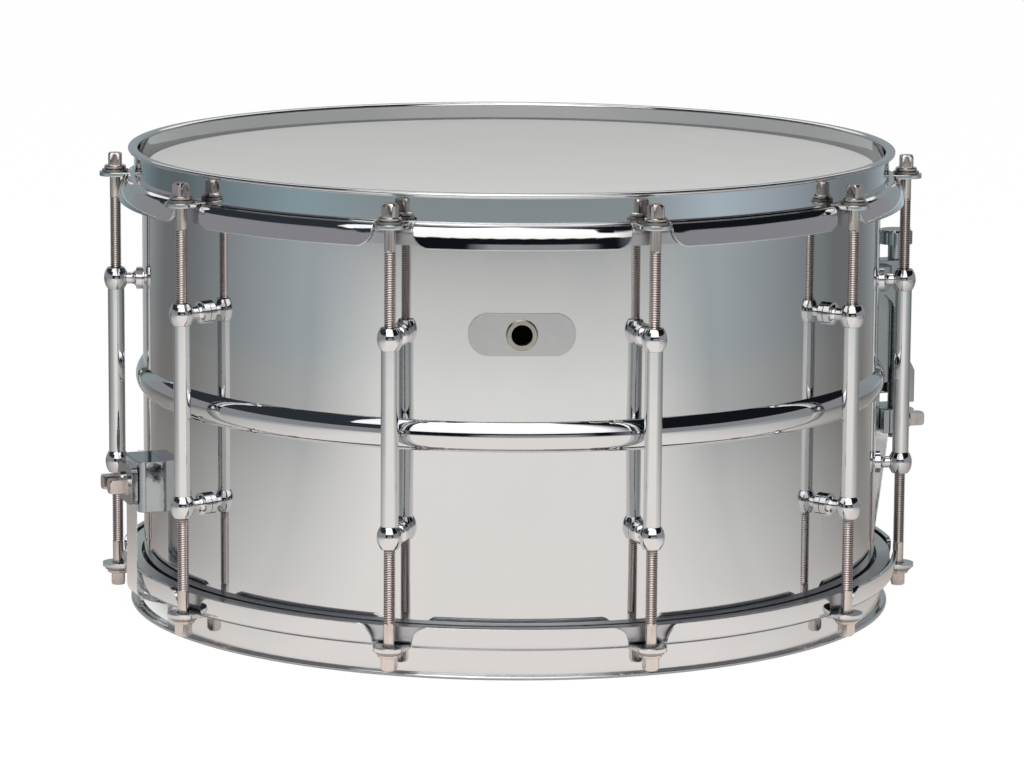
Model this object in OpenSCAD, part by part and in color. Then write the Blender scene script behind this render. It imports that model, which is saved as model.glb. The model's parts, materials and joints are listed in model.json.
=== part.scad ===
// Snare drum: beaded steel shell, ten tube lugs, triple-flanged hoops, throw-off and butt plate.
// Millimetres, Z up. Z 0 is the plane that the lower hoop stands on, and the Z axis is the shell's.
// The front, with the vent, faces -Y. Heights in the modules are measured from the shell's middle.

/* [Shell] */
// Outside diameter of the shell
shell_d = 354; // [340:1:370]
// Depth of the shell between its bearing edges
shell_depth = 203.2; // [190:0.2:220]
// Thickness of the shell's steel sheet
shell_wall = 1; // [0.8:0.1:1.3]
// Width of the bead rolled round the shell's middle
bead_w = 14; // [12:0.5:18]
// How far the bead stands out
bead_h = 3.5; // [2.5:0.1:4]
// How far the bearing edges turn in, at 45 degrees
edge_in = 3.6; // [2.8:0.1:4.4]
// Width of the two snare beds in the lower edge
bed_w = 90; // [70:1:110]
// Depth of the snare beds
bed_depth = 1.2; // [0.6:0.1:1.6]

/* [Hoops] */
// Thickness of the hoops' steel sheet
hoop_gauge = 2; // [1.8:0.1:2.2]
// How far a hoop's lip stands beyond the bearing edge
hoop_rise = 8.4; // [7.5:0.1:10]
// Height from a hoop's shelf to the top of its lip
hoop_wall_h = 13.5; // [12.5:0.1:15]
// Height of a hoop's skirt, from the shelf's top
skirt_h = 11.1; // [10.4:0.1:12.5]
// How far the lip reaches past the hoop's wall
lip_out = 2.9; // [2.4:0.1:3.6]
// Outside radius of the bend between a hoop's shelf and its skirt
bend_r = 5; // [4.6:0.1:5.2]
// Radius of the gentle curve down a hoop's skirt
skirt_curve_r = 35; // [30:1:45]
// Radius of the round ends of the ears
ear_r = 7.5; // [6.8:0.1:8.2]
// Radius of the skirt's corners beside the ears
skirt_corner_r = 8.5; // [6:0.1:9]
// Width of the gates that the snare straps pass through
gate_w = 50; // [40:1:60]

/* [Heads] */
// Thickness of the batter head's film
batter_film_t = 0.25; // [0.2:0.01:0.35]
// Thickness of the snare head's film
snare_film_t = 0.1; // [0.08:0.01:0.15]
// Width of the flesh hoops
flesh_w = 6.4; // [5.6:0.1:6.8]
// Height of the flesh hoops
flesh_h = 8; // [7:0.1:9]

/* [Lugs] */
// Length of a lug tube
lug_len = 100; // [85:1:115]
// Outside diameter of a lug tube
tube_d = 8; // [7.8:0.1:8.4]
// Wall of a lug tube
tube_wall = 0.7; // [0.6:0.05:0.8]
// Distance of the rods' axes from the shell
rod_offset = 12.9; // [12.4:0.1:14]
// Diameter of the ring on a lug post
ring_d = 11.6; // [11.2:0.1:12.4]
// Height of the ring on a lug post
ring_h = 10.3; // [9.5:0.1:11]
// Diameter of a lug post's foot
foot_d = 10.6; // [10:0.1:11.4]
// Diameter of a lug post's neck
neck_d = 5.6; // [5.4:0.1:6]
// Length of the threaded insert in each tube end
insert_len = 20; // [16:1:24]

/* [Tension rods] */
// Diameter of a tension rod's thread
rod_d = 5.4; // [5.2:0.1:5.5]
// Length of a rod held in its insert
rod_grip = 14; // [11:0.5:16]
// Width across a rod's square head
rod_head_w = 6.4; // [6:0.1:6.8]
// Height of a rod's square head
rod_head_h = 6; // [5:0.1:7]
// Diameter of the flange under a rod's head
rod_flange_d = 10.4; // [9.8:0.1:11]
// Height of the flange under a rod's head
rod_flange_h = 1.8; // [1.4:0.1:2.2]
// Diameter of a rod's washer
washer_d = 12.4; // [11.6:0.1:13]
// Thickness of a rod's washer
washer_h = 1.2; // [0.9:0.1:1.5]

/* [Vent] */
// Height of the vent above the shell's middle
vent_z = 46.3; // [40:0.1:54]
// Diameter of the vent hole through the eyelet
vent_d = 9.5; // [8:0.1:10.5]
// Width of the plain plate under the eyelet
vent_plate_w = 48; // [40:1:54]
// Height of the plain plate
vent_plate_h = 19.2; // [17.6:0.2:22]
// Thickness of the plain plate
vent_plate_t = 0.8; // [0.6:0.1:1.1]

/* [Throw-off] */
// Width of the throw-off's body
body_w = 24; // [23:0.5:27]
// How far the body's front stands from the shell
body_out = 19.5; // [18.5:0.1:20]
// Thickness of the body's back plate
body_plate_t = 7; // [6.4:0.1:7.6]
// Height of the body's top above the shell's middle
body_top = 44; // [43:0.5:46]
// Depth of the rails' lower end below the shell's middle
rail_bottom = 14; // [12:0.5:18]
// Depth of the back plate's lower end below the shell's middle
plate_bottom = 40; // [37:0.5:44]
// Width of the channel that the carriage slides in
slot_w = 12.4; // [11.5:0.1:13]
// Distance of the fine-tension screw's axis from the shell
screw_out = 25.3; // [24.8:0.1:26.4]
// Diameter of the fine-tension screw
screw_d = 4.8; // [4.4:0.1:5]
// Diameter of the fine-tension knob
knob_d = 17; // [15:0.5:18]
// Height of the fine-tension knob
knob_h = 7.1; // [6:0.1:9]
// Thickness of the lever's two cheeks
lever_t = 2.5; // [2:0.1:3]
// Distance of the lever's pivot from the shell
pivot_out = 13; // [12:0.1:13.6]
// Height of the lever's pivot above the shell's middle
pivot_z = 36; // [34:0.5:37]
// Depth of the lever's tip below the shell's middle
lever_bottom = 24; // [20:0.5:25]
// Depth of the strap clamp's middle below the shell's middle
clamp_depth = 34; // [33.5:0.1:35]
// Diameter of the strap clamp screws
clamp_screw_d = 4; // [3.6:0.1:4.4]

/* [Butt plate] */
// Width of the butt
butt_w = 28; // [26:0.5:32]
// Height of the butt
butt_h = 24; // [23:0.5:27]
// Depth of the butt's middle below the shell's middle
butt_depth = 44; // [42:0.5:46]
// How far the butt's body stands from the shell
butt_out = 12; // [11.7:0.1:12.6]

/* [Snares] */
// Number of snare strands
strand_count = 20; // [12:2:24]
// Distance between strands
strand_pitch = 3; // [2.6:0.1:3.2]
// Outside diameter of a strand's coil
strand_d = 2; // [1.6:0.1:2.2]
// Width of an end plate along the strands
end_plate_w = 20; // [18:0.5:24]
// Distance of the end plates' outer edges from the shell
end_plate_in = 20; // [17:0.5:26]
// Width of the straps
strap_w = 18; // [16.5:0.5:20]
// Thickness of the straps
strap_t = 0.4; // [0.3:0.05:0.5]

/* [Hidden] */
$fn = 96;
// Facets of the drum's own large circles
large_fn = 360;
lug_count = 10;
lug_step = 360 / lug_count;
first_lug = lug_step / 2;
// The throw-off sits midway between two lugs, and the butt opposite it
strainer_angle = 3 * lug_step;
butt_angle = strainer_angle - 180;

// Clearances
seat_gap = 0.03;
run_gap = 0.3;
turn_gap = 0.05;
thread_gap = 0.1;
hole_gap = 0.5;
through = 1;

// Shell
shell_r = shell_d / 2;
shell_in_r = shell_r - shell_wall;
half_depth = shell_depth / 2;
mid_z = half_depth + hoop_rise;
edge_z = half_depth - edge_in;
edge_run = shell_wall * sqrt(2);
bead_r = (pow(bead_w / 2, 2) + pow(bead_h, 2)) / (2 * bead_h);
bed_r = pow(bed_w / 2, 2) / (2 * bed_depth);

// Heads: the film hangs just clear of the shell and its rim is held in the flesh hoop's groove
film_gap = 0.35;
film_in_r = shell_r + film_gap;
flesh_gap = 1.3;
flesh_in_r = shell_r + flesh_gap;
flesh_out_r = flesh_in_r + flesh_w;
groove_depth = 3.9;
film_rim = 3.7;

// Hoops
wall_gap = 1.6;
skirt_gap = 0.5;
hoop_in_r = shell_r + wall_gap;
hoop_out_r = hoop_in_r + hoop_gauge;
lip_r = hoop_out_r + lip_out;
lip_z = half_depth + hoop_rise;
lip_edge = 1.5;
shelf_z = lip_z - hoop_wall_h;
shelf_under = shelf_z - hoop_gauge;
flesh_top = shelf_under - seat_gap;
rim_z = flesh_top - flesh_h / 2;
skirt_in_r = flesh_out_r + skirt_gap;
skirt_out_r = skirt_in_r + hoop_gauge;
skirt_z = shelf_z - skirt_h;
bend_in = bend_r - hoop_gauge;
bend_start = skirt_out_r - bend_r;
// The skirt leans out where it leaves the bend, and curves down from there
skirt_lean = 15;
bend_centre = [bend_start, shelf_z - bend_r];
curve_centre = bend_centre - (skirt_curve_r - bend_r) * [cos(skirt_lean), sin(skirt_lean)];
skirt_edge_r = curve_centre[0] + skirt_curve_r;
ear_gap = 1.8;
// The corners' curves run out a little below the skirt's edge, so they meet it at an angle
corner_drop = 0.15;
ear_root = (hoop_out_r + bend_start) / 2;
gate_lip = 0.6;
// Turns the hoops' seam clear of the ears and the gates
seam_turn = lug_step / 4;

// Lugs and rods
rod_r = shell_r + rod_offset;
tube_in_r = tube_d / 2 - tube_wall;
lug_end = lug_len / 2;
post_z = lug_end - ring_h / 2;
ring_curve = 8.5;
foot_h = 3;
foot_x = shell_r + seat_gap;
neck_fillet = (foot_d - neck_d) / 2;
lug_screw_d = 4;
lug_screw_hole = 5.5;
lug_screw_reach = 5;
lug_washer_d = 10;
lug_washer_h = 1;
screw_head_d = 7.6;
screw_head_h = 2.6;
rod_seat = shelf_z + washer_h;
rod_tip = lug_end - rod_grip;
head_chamfer = 0.9;

// Vent
vent_wall = 1.3;
vent_tube_d = vent_d + 2 * vent_wall;
vent_flange = 2.4;
vent_flange_d = vent_d + 2 * vent_flange;
vent_flange_h = 1.2;
vent_curl_h = 0.9;
vent_plate_r = shell_r + seat_gap + vent_plate_t;
vent_end_gap = 0.6;
vent_corner = vent_plate_h / 2 - vent_end_gap;

// Throw-off
body_r = shell_r + body_out;
plate_r = shell_r + body_plate_t;
channel_floor = 2;
channel_r = plate_r + channel_floor;
bead_clear = 1.2;
bead_relief_z = bead_w / 2 + bead_clear;
bead_relief_r = shell_r + bead_h + bead_clear;
body_corner = 3;
spine_in_r = channel_r + run_gap;
spine_w = slot_w - 2 * run_gap;
spine_r = body_r - run_gap;
screw_r = shell_r + screw_out;
bridge_h = 8;
bridge_rise = 2;
bridge_top = body_top + bridge_rise;
bridge_wall = 2.6;
bridge_r = screw_r + screw_d / 2 + bridge_wall;
knob_neck_h = 7.7;
knob_z = bridge_top + knob_neck_h;
knob_neck_wall = 1.2;
knob_neck_d = screw_d + 2 * knob_neck_wall;
knob_dome = 1.2;
flute_count = 18;
flute_d = 1.6;
clip_wall = 1.7;
clip_d = screw_d + 2 * clip_wall;
clip_h = 1.2;
strap_set = 5.9;
strap_r = screw_r - strap_set;
clamp_plate_t = 3;
clamp_plate_r = strap_r - strap_t / 2 - clamp_plate_t;
clamp_w = 22;
clamp_h = 12;
block_wall = 1.8;
block_r = screw_r + screw_d / 2 + block_wall;
clamp_screw_y = 6;
spine_low_r = clamp_plate_r - run_gap;
spine_short = 1;
spine_bottom = clamp_depth + clamp_h / 2 - spine_short;
screw_over = 4;
screw_end = clamp_depth + clamp_h / 2 + screw_over;
key_flange_h = 1.5;
key_head_h = 8;
pivot_r = shell_r + pivot_out;
pivot_d = 4;
pivot_head_h = 2;
hub_r = 5.6;
arm_w = 5;
arm_out = 25;
arm_r = shell_r + arm_out;
elbow_drop = 14;
elbow_z = pivot_z - elbow_drop;
tab_gap = 0.8;
tab_t = 2;
tab_h = 16;
tab_r = screw_r + screw_d / 2 + tab_gap + tab_t;
tab_top = tab_h - lever_bottom;
cheek_y = body_w / 2 + run_gap;
mount_screw_reach = 5;
strainer_screw_set = 30;
strainer_screw_z = [strainer_screw_set, -strainer_screw_set];

// Butt
butt_r = shell_r + butt_out;
butt_plate_t = 3;
butt_step = 2;
butt_plate_h = butt_h - 3 * butt_step;
butt_plate_w = butt_w - 2 * butt_step;
butt_strap_r = butt_r + strap_t / 2;
butt_plate_in_r = butt_r + strap_t;
butt_screw_reach = 7;
butt_screw_set = 6;
butt_screw_z = [butt_screw_set - butt_depth, -butt_screw_set - butt_depth];

// Snares, hung just under the snare head
strand_z = -half_depth - snare_film_t - seat_gap - strand_d / 2;
plate_top = strand_z - strand_d / 2 - seat_gap;
end_plate_t = 0.8;
end_plate_r = shell_r - end_plate_in;
end_plate_len = (strand_count + 1) * strand_pitch;
strand_lap = 7;
strand_half = end_plate_r - end_plate_w + strand_lap;
strap_lap = 10;
// A strap runs down outside the skirt, turns in under the shelf and passes under the bearing edge
strap_clear = 1;
strap_turn = [skirt_edge_r + strap_clear, -shelf_z - strap_clear];
strap_edge = [shell_r - edge_in + strap_clear, -half_depth - snare_film_t - strap_clear / 2];
strap_land = [end_plate_r + strap_clear, plate_top + strap_t / 2];
strap_end = [end_plate_r - strap_lap, plate_top + strap_t / 2];

BATTER_RODS = [for (i = [1:lug_count]) str("batter_rod_", i)];
SNARE_RODS = [for (i = [1:lug_count]) str("snare_rod_", i)];

function lug_angle(i) = first_lug + (i - 1) * lug_step;
// The unit vector to the left of a direction
function left(v) = [-v[1], v[0]] / norm(v);

// Placing

// Puts its children at an angle round the shell, counted from the front: +X then points outwards
module at(angle) {
    rotate([0, 0, angle - 90]) children();
}

// Lifts what is drawn about the shell's middle to its height
module lifted() {
    translate([0, 0, mid_z]) children();
}

module each_lug() {
    for (i = [1:lug_count]) at(lug_angle(i)) children();
}

// Draws its children for the batter side and again for the snare side
module both_sides() {
    children();
    mirror([0, 0, 1]) children();
}

// Turns a shape drawn up the Z axis so that it points outwards, at a distance and a height
module outwards(r, z = 0, y = 0) {
    translate([r, y, z]) rotate([0, 90, 0]) children();
}

// Extrudes a shape drawn in radius and height to a width, centred on the radius
module across(width) {
    rotate([90, 0, 0]) linear_extrude(width, center = true) children();
}

// Extrudes a shape drawn in width and height outwards
module through_wall(r, depth) {
    translate([r, 0, 0]) rotate([90, 0, 90]) linear_extrude(depth) children();
}

// Flat shapes

// The bit that is cut from a square corner at the origin to round it; the corner's body is at -x, -y
module corner_cut(r) {
    translate([-r, -r]) difference() {
        square(r + through);
        circle(r);
    }
}

module rounded_rectangle(w, h, r) {
    square([w - 2 * r, h], center = true);
    square([w, h - 2 * r], center = true);
    for (x = [-1, 1], y = [-1, 1]) translate([x * (w / 2 - r), y * (h / 2 - r)]) circle(r);
}

// One side of a bent strip: its points, each set off by d and mitred at the bends
function strip_side(points, d) = [
    for (i = [0:len(points) - 1])
        let (
            last = len(points) - 1,
            before = i == 0 ? left(points[1] - points[0]) : left(points[i] - points[i - 1]),
            after = i == last ? before : left(points[i + 1] - points[i]),
            mitre = (before + after) / norm(before + after)
        )
        points[i] + mitre * d / (mitre * before)
];

function backwards(points) = [for (i = [len(points) - 1:-1:0]) points[i]];

// A bent strip of even thickness along a line of points
module strip(points, t) {
    polygon(concat(strip_side(points, t / 2), backwards(strip_side(points, -t / 2))));
}

// Fasteners

// A panhead screw along Z: its head stands below 0 and its shank rises from 0
module pan_screw(d, reach) {
    cylinder(d = d, h = reach);
    translate([0, 0, -screw_head_h / 2]) cylinder(d = screw_head_d, h = screw_head_h / 2);
    translate([0, 0, -screw_head_h]) cylinder(d1 = screw_head_d - 2, d2 = screw_head_d, h = screw_head_h / 2);
}

// A square head for a drum key, with its corners turned off at the top
module key_head(h) {
    intersection() {
        translate([0, 0, h / 2]) cube([rod_head_w, rod_head_w, h], center = true);
        union() {
            cylinder(d = rod_head_w * sqrt(2) + through, h = h - head_chamfer);
            translate([0, 0, h - head_chamfer])
                cylinder(d1 = rod_head_w * sqrt(2), d2 = rod_head_w * sqrt(2) - 2 * head_chamfer, h = head_chamfer);
        }
    }
}

// A key screw along Z: its flange stands on 0, and its shank goes down by reach
module key_screw(d, reach) {
    translate([0, 0, -reach]) cylinder(d = d, h = reach);
    cylinder(d = rod_flange_d - 1, h = key_flange_h);
    translate([0, 0, key_flange_h]) key_head(key_head_h);
}

// Where a washer or a head lies flat inside the shell's curve
function inside_seat(d) = sqrt(pow(shell_in_r, 2) - pow(d / 2, 2)) - seat_gap;

// A mounting screw with its head inside the shell, reaching past the shell's outside
module mounting_screw(z, reach) {
    seat = inside_seat(screw_head_d);
    outwards(seat, z) pan_screw(lug_screw_d, shell_r + reach - seat);
}

// Shell

module shell_profile() {
    difference() {
        union() {
            polygon([
                [shell_r, edge_z],
                [shell_r - edge_in, half_depth],
                [shell_r - edge_in - edge_run, half_depth],
                [shell_in_r, edge_z + shell_wall - edge_run],
                [shell_in_r, -edge_z - shell_wall + edge_run],
                [shell_r - edge_in - edge_run, -half_depth],
                [shell_r - edge_in, -half_depth],
                [shell_r, -edge_z]
            ]);
            intersection() {
                translate([shell_r + bead_h - bead_r, 0]) circle(bead_r);
                translate([shell_in_r, -bead_w / 2]) square([shell_wall + bead_h + through, bead_w]);
            }
        }
        translate([shell_r + bead_h - bead_r, 0]) circle(bead_r - shell_wall);
    }
}

module wall_hole(d, z) {
    outwards(shell_in_r - shell_wall, z) cylinder(d = d, h = 3 * shell_wall);
}

module shell() {
    screw_hole = lug_screw_d + hole_gap;
    color("silver") lifted() difference() {
        rotate_extrude($fn = large_fn) shell_profile();
        at(strainer_angle) translate([0, 0, bed_depth - half_depth - bed_r])
            rotate([0, 90, 0]) cylinder(r = bed_r, h = shell_d, center = true, $fn = 2 * large_fn);
        each_lug() both_sides() wall_hole(screw_hole, post_z);
        at(0) wall_hole(vent_tube_d + 2 * turn_gap, vent_z);
        at(strainer_angle) for (z = strainer_screw_z) wall_hole(screw_hole, z);
        at(butt_angle) for (z = butt_screw_z) wall_hole(screw_hole, z);
    }
}

module vent_plate() {
    color("gainsboro") lifted() intersection() {
        difference() {
            cylinder(r = vent_plate_r, h = shell_depth, center = true, $fn = large_fn);
            cylinder(r = shell_r + seat_gap, h = shell_depth + through, center = true, $fn = large_fn);
        }
        at(0) translate([0, 0, vent_z]) through_wall(shell_r - vent_plate_w / 2, vent_plate_w) difference() {
            rounded_rectangle(vent_plate_w, vent_plate_h, vent_corner);
            circle(d = vent_tube_d + 2 * turn_gap);
        }
    }
}

// A rolled eyelet: its tube passes the plate and the shell, and its inner end is curled over
module vent_eyelet() {
    inner = inside_seat(vent_flange_d);
    outer = vent_plate_r + seat_gap;
    color("dimgray") lifted() at(0) outwards(inner, vent_z) difference() {
        union() {
            translate([0, 0, -vent_curl_h]) cylinder(d = vent_flange_d, h = vent_curl_h);
            cylinder(d = vent_tube_d, h = outer - inner);
            translate([0, 0, outer - inner])
                cylinder(d1 = vent_flange_d, d2 = vent_flange_d - vent_flange_h, h = vent_flange_h);
        }
        translate([0, 0, -vent_curl_h - through])
            cylinder(d = vent_d, h = outer - inner + vent_curl_h + vent_flange_h + 2 * through);
    }
}

// Heads

module film(t) {
    out_r = film_in_r + t;
    flat_r = shell_r - edge_in + film_gap;
    slope = t * (sqrt(2) - 1);
    rotate_extrude($fn = large_fn) polygon([
        [0, half_depth],
        [flat_r, half_depth],
        [film_in_r, half_depth - (film_in_r - flat_r)],
        [film_in_r, rim_z],
        [flesh_in_r + film_rim, rim_z],
        [flesh_in_r + film_rim, rim_z + t],
        [out_r, rim_z + t],
        [out_r, half_depth - (film_in_r - flat_r) + slope],
        [flat_r + slope, half_depth + t],
        [0, half_depth + t]
    ]);
}

module flesh_hoop(t) {
    rotate_extrude($fn = large_fn) difference() {
        translate([flesh_in_r, flesh_top - flesh_h]) square([flesh_w, flesh_h]);
        translate([flesh_out_r, flesh_top]) corner_cut(bend_in);
        translate([flesh_in_r - through, rim_z - thread_gap])
            square([groove_depth + through, t + 2 * thread_gap]);
    }
}

module batter_film() {
    color("whitesmoke") lifted() film(batter_film_t);
}

module batter_flesh_hoop() {
    color("lightgray") lifted() flesh_hoop(batter_film_t);
}

module snare_film() {
    color("azure") lifted() mirror([0, 0, 1]) film(snare_film_t);
}

module snare_flesh_hoop() {
    color("lightgray") lifted() mirror([0, 0, 1]) flesh_hoop(snare_film_t);
}

// Hoops

// The lip, wall and shelf, as far as the bend
module hoop_profile() {
    difference() {
        union() {
            translate([hoop_in_r, shelf_under]) square([hoop_gauge, hoop_wall_h + hoop_gauge]);
            translate([hoop_in_r, lip_z - hoop_gauge]) square([lip_r - hoop_gauge / 2 - hoop_in_r, hoop_gauge]);
            translate([lip_r - hoop_gauge / 2, lip_z - hoop_gauge / 2]) circle(hoop_gauge / 2);
            translate([hoop_in_r, shelf_under]) square([bend_start - hoop_in_r, hoop_gauge]);
        }
        translate([hoop_in_r, lip_z]) mirror([1, 0]) corner_cut(lip_edge);
    }
}

// The bit outside the bend's curve, from the shelf to where the skirt begins
module bend_cut(r) {
    far = r + through;
    translate(bend_centre) difference() {
        polygon([[0, 0], [0, far], [far, far], [far, far * tan(skirt_lean)]]);
        circle(r);
    }
}

// All that lies under one side of the sheet, whose bend has radius r
module under_sheet(r, extra) {
    bottom = skirt_z - extra;
    left = bend_start - hoop_gauge / 2 - extra;
    difference() {
        intersection() {
            translate([left, bottom]) square([skirt_edge_r - left + through, bend_centre[1] + r - bottom]);
            translate(curve_centre) circle(skirt_curve_r - bend_r + r, $fn = large_fn);
        }
        bend_cut(r);
    }
}

// The skirt and the bend that it hangs from
module skirt_profile() {
    difference() {
        under_sheet(bend_r, 0);
        under_sheet(bend_in, through);
    }
}

// The opening for an ear: straight at the top and flared by the skirt's round corners
module skirt_opening() {
    half = ear_r + ear_gap;
    translate([-half, skirt_z - through]) square([2 * half, skirt_h + 2 * through]);
    for (side = [0, 1]) mirror([side, 0])
        translate([half, skirt_z - corner_drop]) rotate(180) corner_cut(skirt_corner_r);
}

module hoop() {
    reach = skirt_edge_r + through - flesh_in_r;
    difference() {
        union() {
            rotate([0, 0, seam_turn]) rotate_extrude($fn = large_fn) hoop_profile();
            difference() {
                rotate([0, 0, seam_turn]) rotate_extrude($fn = large_fn) skirt_profile();
                each_lug() through_wall(flesh_in_r, reach) skirt_opening();
            }
            each_lug() translate([0, 0, shelf_under]) linear_extrude(hoop_gauge) {
                translate([ear_root, -ear_r]) square([rod_r - ear_root, 2 * ear_r]);
                translate([rod_r, 0]) circle(ear_r);
            }
        }
        each_lug() translate([rod_r, 0, shelf_under - through])
            cylinder(d = rod_d + 2 * hole_gap, h = hoop_gauge + 2 * through);
    }
}

module batter_hoop() {
    color("silver") lifted() hoop();
}

module snare_hoop() {
    gate_h = hoop_wall_h - hoop_gauge - gate_lip;
    color("silver") lifted() mirror([0, 0, 1]) difference() {
        hoop();
        for (a = [strainer_angle, butt_angle]) at(a)
            translate([hoop_in_r - 2 * through, -gate_w / 2, shelf_z])
                cube([hoop_gauge + 3 * through, gate_w, gate_h]);
    }
}

// Lugs

module lug_tubes() {
    color("silver") lifted() each_lug() translate([rod_r, 0, 0]) difference() {
        cylinder(d = tube_d, h = lug_len, center = true);
        cylinder(r = tube_in_r, h = lug_len + through, center = true);
    }
}

// A foot on the shell, a waisted neck and a barrel-shaped ring round the tube
module post() {
    difference() {
        union() {
            outwards(foot_x) rotate_extrude() {
                square([foot_d / 2, foot_h]);
                translate([0, foot_h]) difference() {
                    square([foot_d / 2, neck_fillet]);
                    translate([foot_d / 2, neck_fillet]) circle(neck_fillet);
                }
                square([neck_d / 2, rod_offset - seat_gap - tube_d / 2]);
            }
            translate([rod_r, 0, 0]) rotate_extrude() intersection() {
                translate([0, -ring_h / 2]) square([ring_d / 2, ring_h]);
                translate([ring_d / 2 - ring_curve, 0]) circle(ring_curve);
            }
        }
        translate([rod_r, 0, 0]) cylinder(d = tube_d + 2 * turn_gap, h = ring_h + through, center = true);
        outwards(foot_x - through) cylinder(d = lug_screw_d + 2 * turn_gap, h = lug_screw_hole + through);
    }
}

module lug_posts() {
    color("silver") lifted() each_lug() both_sides() translate([0, 0, post_z]) post();
}

module lug_inserts() {
    color("goldenrod") lifted() each_lug() both_sides()
        translate([rod_r, 0, lug_end - insert_len]) difference() {
            cylinder(r = tube_in_r - seat_gap, h = insert_len);
            translate([0, 0, -through]) cylinder(d = rod_d + 2 * thread_gap, h = insert_len + 2 * through);
        }
}

module lug_washers() {
    color("lightgray") lifted() each_lug() both_sides()
        outwards(inside_seat(lug_washer_d) - lug_washer_h, post_z) difference() {
            cylinder(d = lug_washer_d, h = lug_washer_h);
            translate([0, 0, -through]) cylinder(d = lug_screw_d + hole_gap, h = lug_washer_h + 2 * through);
        }
}

module lug_screws() {
    seat = inside_seat(lug_washer_d) - lug_washer_h;
    color("darkgray") lifted() each_lug() both_sides()
        outwards(seat, post_z) pan_screw(lug_screw_d, shell_r + lug_screw_reach - seat);
}

// Tension rods, drawn for the batter side

module tension_rod() {
    translate([rod_r, 0, 0]) {
        translate([0, 0, rod_tip]) cylinder(d = rod_d, h = rod_seat - rod_tip);
        translate([0, 0, rod_seat]) cylinder(d = rod_flange_d, h = rod_flange_h);
        translate([0, 0, rod_seat + rod_flange_h]) key_head(rod_head_h);
    }
}

module rod_washer() {
    translate([rod_r, 0, shelf_z]) difference() {
        cylinder(d = washer_d, h = washer_h);
        translate([0, 0, -through]) cylinder(d = rod_d + 2 * run_gap, h = washer_h + 2 * through);
    }
}

module batter_rod(i) {
    color("darkgray") lifted() at(lug_angle(i)) tension_rod();
}

module snare_rod(i) {
    color("darkgray") lifted() at(lug_angle(i)) mirror([0, 0, 1]) tension_rod();
}

module batter_rod_washers() {
    color("gray") lifted() each_lug() rod_washer();
}

module snare_rod_washers() {
    color("gray") lifted() each_lug() mirror([0, 0, 1]) rod_washer();
}

// Throw-off, drawn with +X outwards

// A plate on the shell, relieved over the bead, with two rails that the carriage runs between
module strainer_body() {
    color("silver") lifted() at(strainer_angle) difference() {
        union() {
            translate([0, 0, -plate_bottom]) linear_extrude(body_top + plate_bottom)
                translate([shell_r - shell_wall, -body_w / 2]) square([body_plate_t + shell_wall, body_w]);
            translate([0, 0, -rail_bottom]) linear_extrude(body_top + rail_bottom) difference() {
                translate([shell_r, -body_w / 2]) square([body_out, body_w]);
                for (side = [0, 1]) mirror([0, side])
                    translate([body_r, body_w / 2]) corner_cut(body_corner);
            }
        }
        translate([0, 0, -plate_bottom - through])
            cylinder(r = shell_r + seat_gap, h = body_top + plate_bottom + 2 * through, $fn = large_fn);
        translate([shell_r - shell_wall, -body_w / 2 - through, -bead_relief_z])
            cube([bead_relief_r - shell_r + shell_wall, body_w + 2 * through, 2 * bead_relief_z]);
        translate([channel_r, -slot_w / 2, -rail_bottom - through])
            cube([body_out, slot_w, body_top + rail_bottom + 2 * through]);
        translate([pivot_r, 0, pivot_z]) rotate([90, 0, 0])
            cylinder(d = pivot_d + 2 * turn_gap, h = body_w + through, center = true);
        for (z = strainer_screw_z) outwards(shell_r - shell_wall, z)
            cylinder(d = lug_screw_d + 2 * turn_gap, h = shell_wall + mount_screw_reach + hole_gap);
    }
}

// A spine in the channel, a bridge that carries the fine-tension screw and a low end behind the clamp
module strainer_carriage() {
    color("lightgray") lifted() at(strainer_angle) difference() {
        union() {
            translate([spine_in_r, -spine_w / 2, -rail_bottom])
                cube([spine_r - spine_in_r, spine_w, bridge_top + rail_bottom]);
            translate([spine_in_r, -spine_w / 2, -spine_bottom])
                cube([spine_low_r - spine_in_r, spine_w, spine_bottom - rail_bottom + through]);
            translate([spine_in_r, 0, bridge_top - bridge_h]) linear_extrude(bridge_h) difference() {
                translate([0, -spine_w / 2]) square([bridge_r - spine_in_r, spine_w]);
                for (side = [0, 1]) mirror([0, side])
                    translate([bridge_r - spine_in_r, spine_w / 2]) corner_cut(body_corner);
            }
        }
        translate([screw_r, 0, bridge_top - bridge_h - through])
            cylinder(d = screw_d + 2 * thread_gap, h = bridge_h + 2 * through);
    }
}

// The fluted grip and its neck, which stands on the carriage's bridge
module tension_knob() {
    neck_h = knob_z - bridge_top;
    color("silver") lifted() at(strainer_angle) translate([screw_r, 0, bridge_top]) difference() {
        union() {
            cylinder(d = knob_neck_d, h = neck_h);
            translate([0, 0, neck_h]) cylinder(d = knob_d, h = knob_h - knob_dome);
            translate([0, 0, neck_h + knob_h - knob_dome])
                cylinder(d1 = knob_d, d2 = knob_d - 2 * knob_dome, h = knob_dome);
        }
        for (i = [1:flute_count]) rotate(i * 360 / flute_count)
            translate([knob_d / 2 + flute_d / 4, 0, neck_h - through])
                cylinder(d = flute_d, h = knob_h + 2 * through);
        translate([0, 0, -through]) cylinder(d = screw_d + 2 * seat_gap, h = neck_h + knob_h / 2 + through);
    }
}

module tension_screw() {
    top = knob_z + knob_h / 2;
    color("darkgray") lifted() at(strainer_angle) translate([screw_r, 0, -screw_end])
        cylinder(d = screw_d, h = top + screw_end - seat_gap);
}

// The clip under the bridge that keeps the screw from lifting out
module screw_clip() {
    color("dimgray") lifted() at(strainer_angle)
        translate([screw_r, 0, bridge_top - bridge_h - clip_h - run_gap]) difference() {
            cylinder(d = clip_d, h = clip_h);
            translate([0, 0, -through]) cylinder(d = screw_d + 2 * seat_gap, h = clip_h + 2 * through);
        }
}

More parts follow.
